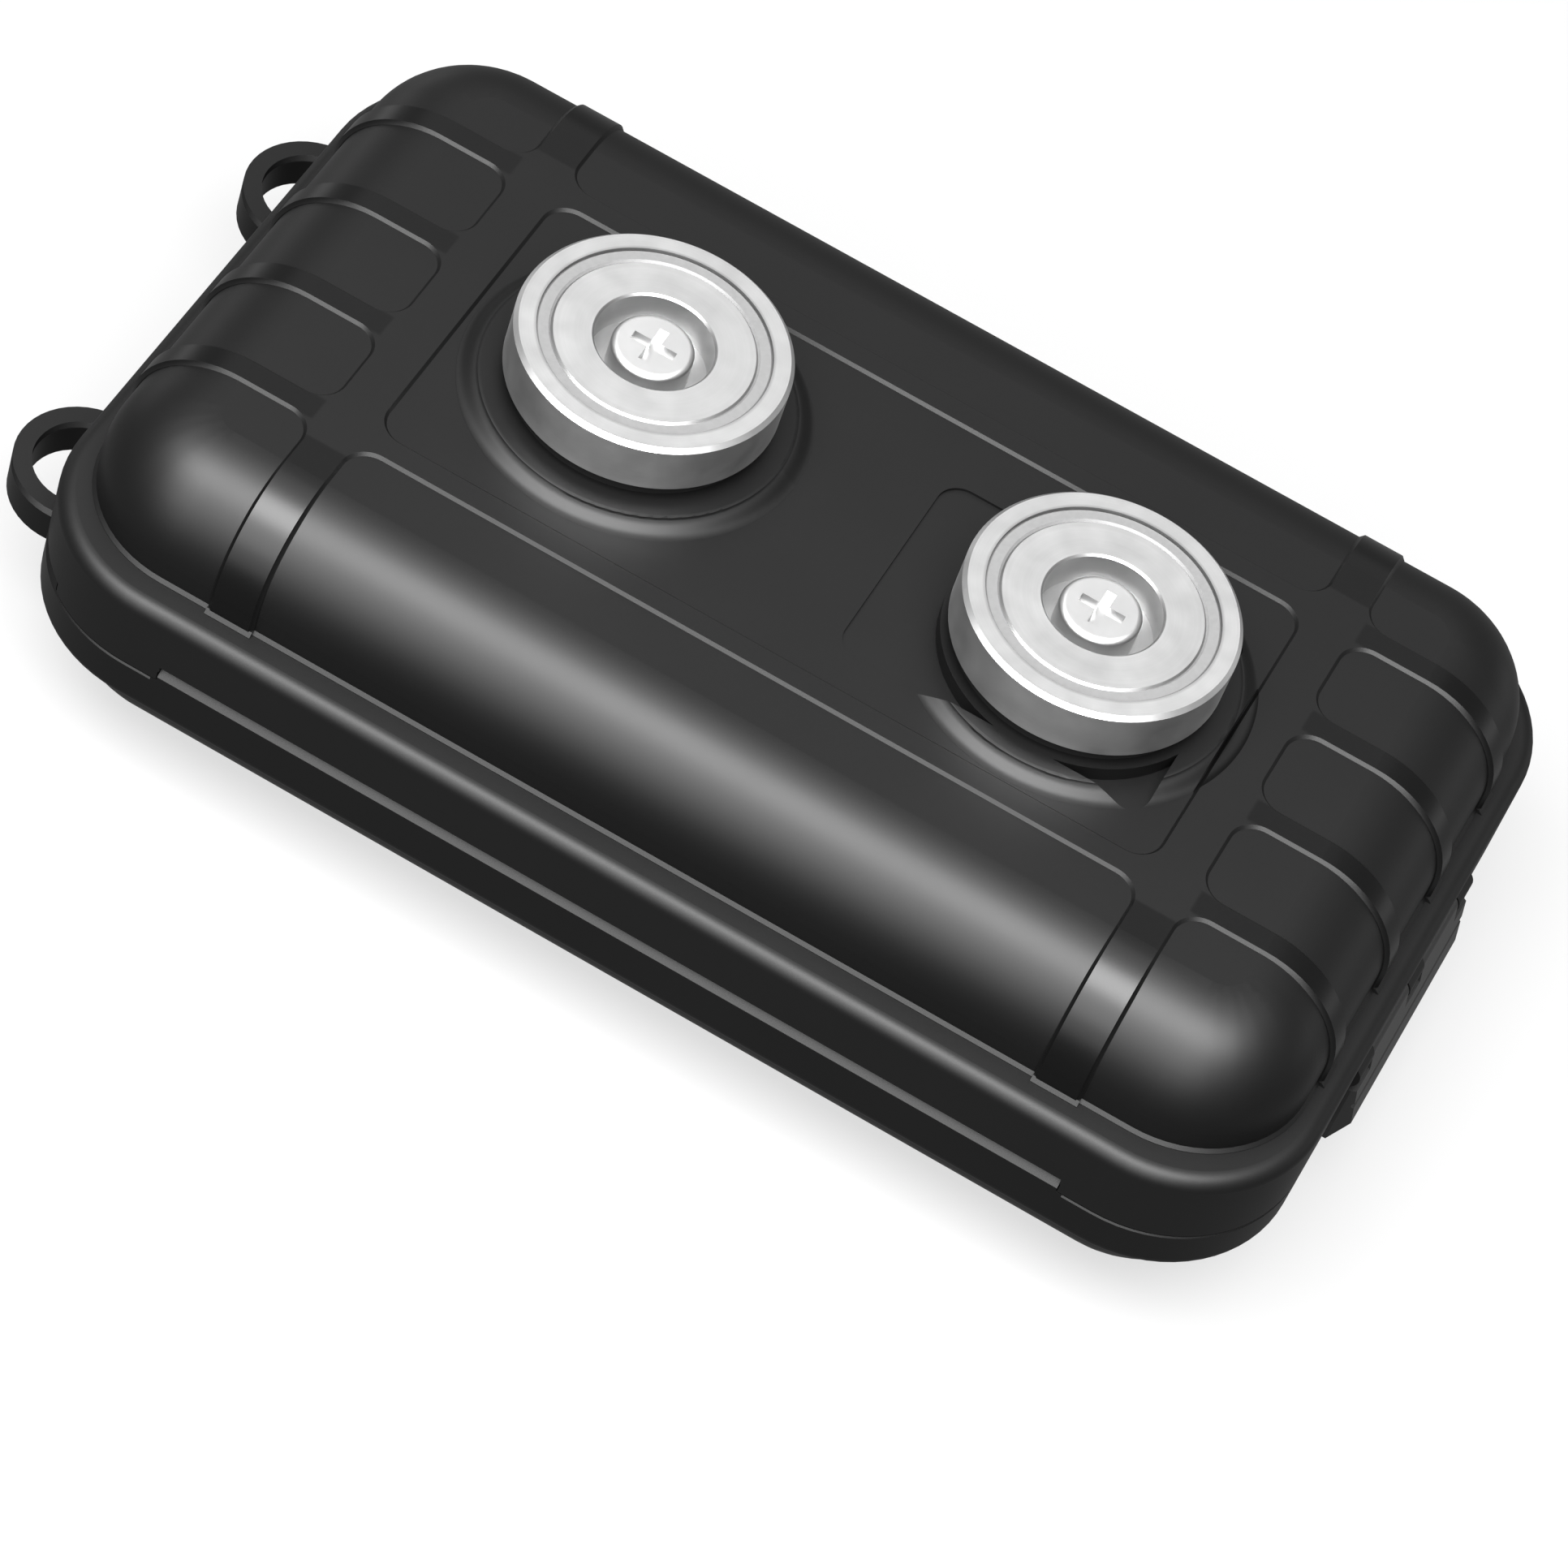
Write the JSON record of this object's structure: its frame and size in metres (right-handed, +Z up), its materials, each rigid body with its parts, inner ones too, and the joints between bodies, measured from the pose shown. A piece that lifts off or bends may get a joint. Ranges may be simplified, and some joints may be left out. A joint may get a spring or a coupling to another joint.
{
  "type": "magnetic key holder box",
  "caption": "Black hinged plastic case with ribbed lid, cord lugs and clasp, held up by round pot magnets screwed to the lid; keeps keys dry on any steel face.",
  "frame": {"origin": "centre of the case's plan on the flat underside of the base", "axes": "+X along the case from the hinge to the latch, +Y across it, +Z up out of the lid towards the magnets"},
  "size_m": [0.1689, 0.095, 0.0543],
  "materials": {
    "black_plastic": "satin moulded ABS with a fine even grain",
    "latch_plastic": "satin moulded ABS, a little smoother than the case",
    "silicone": "soft matt silicone cord",
    "pin_steel": "plain drawn steel wire",
    "nickel": "satin nickel plate",
    "magnet_plate": "nickel-plated ring magnet",
    "resin": "pale potting resin",
    "gasket_rubber": "black foam rubber",
    "screw_steel": "zinc-plated steel"
  },
  "bodies": {
    "lower_case": {"base_shell": "black_plastic", "seal_ring": "silicone", "hinge_pin": "pin_steel"},
    "upper_case": {"lid_shell": "black_plastic", "magnet_cup_left": "nickel", "magnet_cup_right": "nickel", "ring_magnet_left": "magnet_plate", "ring_magnet_right": "magnet_plate", "filler_ring_left": "resin", "filler_ring_right": "resin", "magnet_gasket_left": "gasket_rubber", "magnet_gasket_right": "gasket_rubber", "magnet_screws": "screw_steel", "magnet_washers": "screw_steel", "magnet_nuts": "screw_steel", "latch_pin": "pin_steel"},
    "clasp": {"latch": "latch_plastic"}
  },
  "joints": [
    {"name": "lid_hinge", "type": "hinge", "parent": "lower_case", "child": "upper_case", "pos_m": [-0.07865, 0, 0.02065], "axis": [0, -1, 0], "range_deg": [0, 90]},
    {"name": "latch_hinge", "type": "hinge", "parent": "upper_case", "child": "clasp", "pos_m": [0.0779, 0, 0.0236], "axis": [0, -1, 0], "range_deg": [0, 100]}
  ]
}
